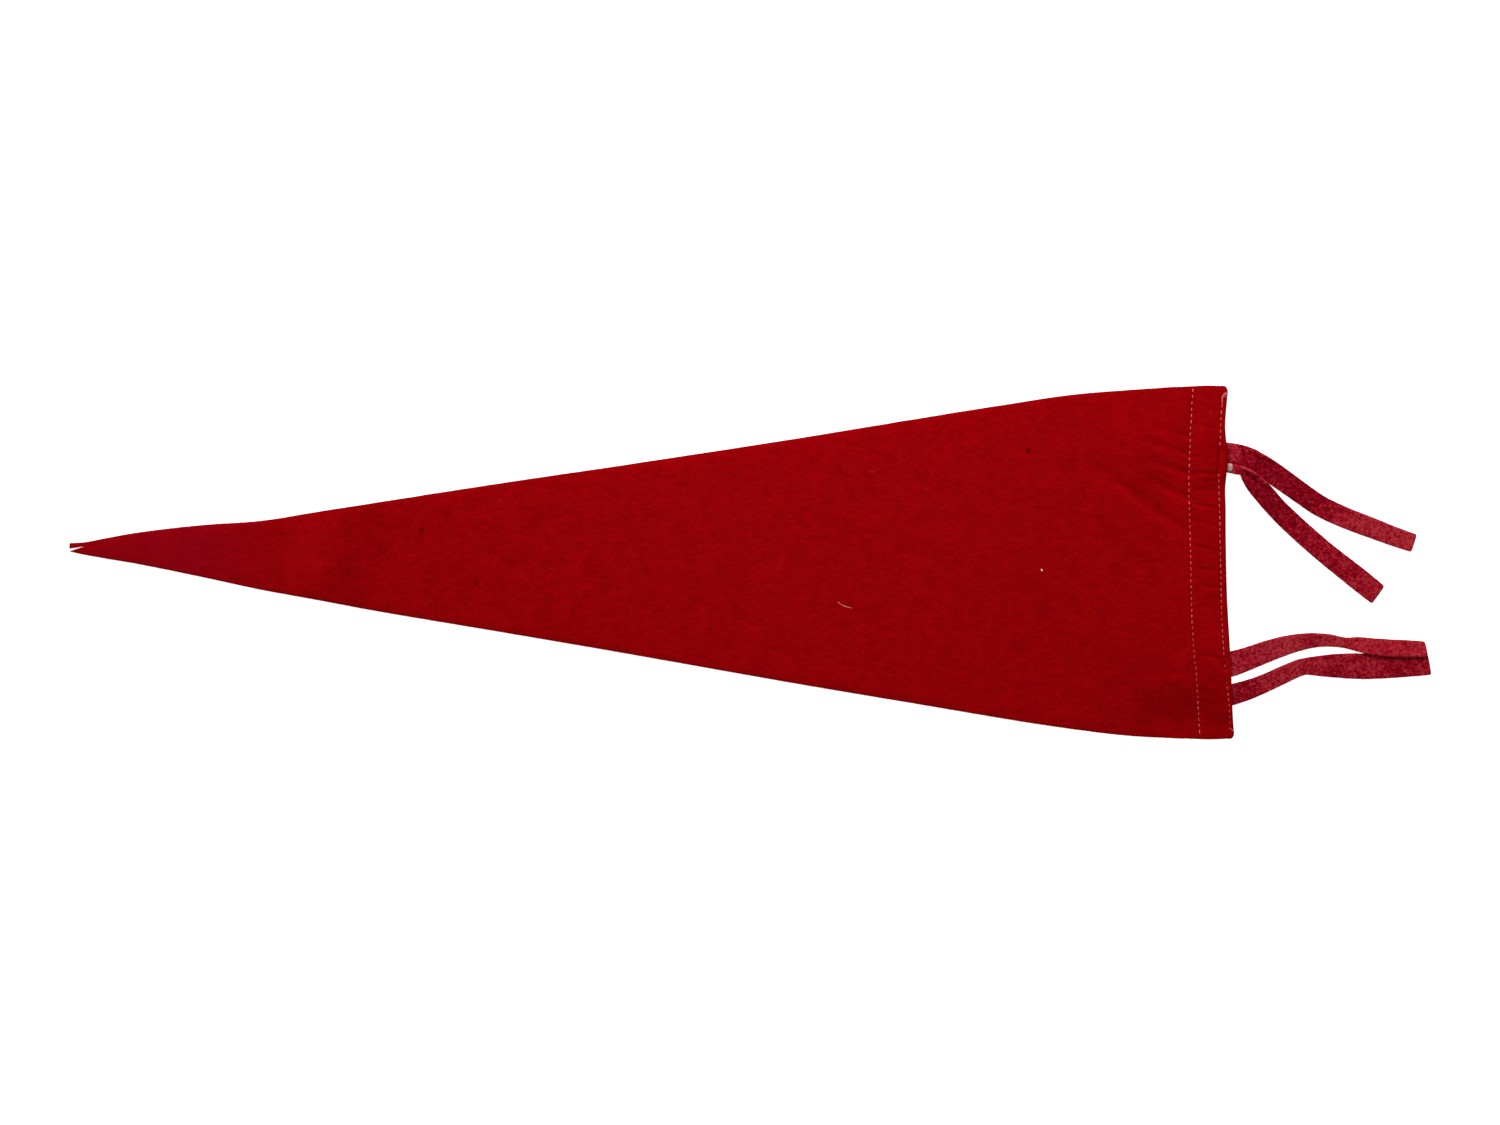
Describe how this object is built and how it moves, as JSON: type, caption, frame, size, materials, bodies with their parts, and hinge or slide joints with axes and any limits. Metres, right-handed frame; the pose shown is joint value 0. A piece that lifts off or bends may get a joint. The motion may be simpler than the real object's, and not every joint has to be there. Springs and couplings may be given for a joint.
{
  "type": "felt pennant flag",
  "caption": "Long triangular felt pennant lying flat, its header turned under as a stitched hem, with pairs of felt strips sewn behind it for tying to a staff.",
  "frame": {"origin": "middle of the flag's footprint, ties included, on the surface it lies on", "axes": "+X from the tip to the free ends of the ties, +Y up the header, +Z away from the surface, out of the face of the cloth"},
  "size_m": [0.7488, 0.1938, 0.0048],
  "materials": {
    "red_felt": "matt wool felt",
    "tie_felt": "matt felt, faded and flecked",
    "cotton_thread": "matt pale sewing thread"
  },
  "bodies": {
    "root": {"pennant_cloth": "red_felt", "tie_upper_long": "tie_felt", "tie_upper_short": "tie_felt", "tie_lower_top": "tie_felt", "tie_lower_under": "tie_felt"}
  },
  "joints": []
}
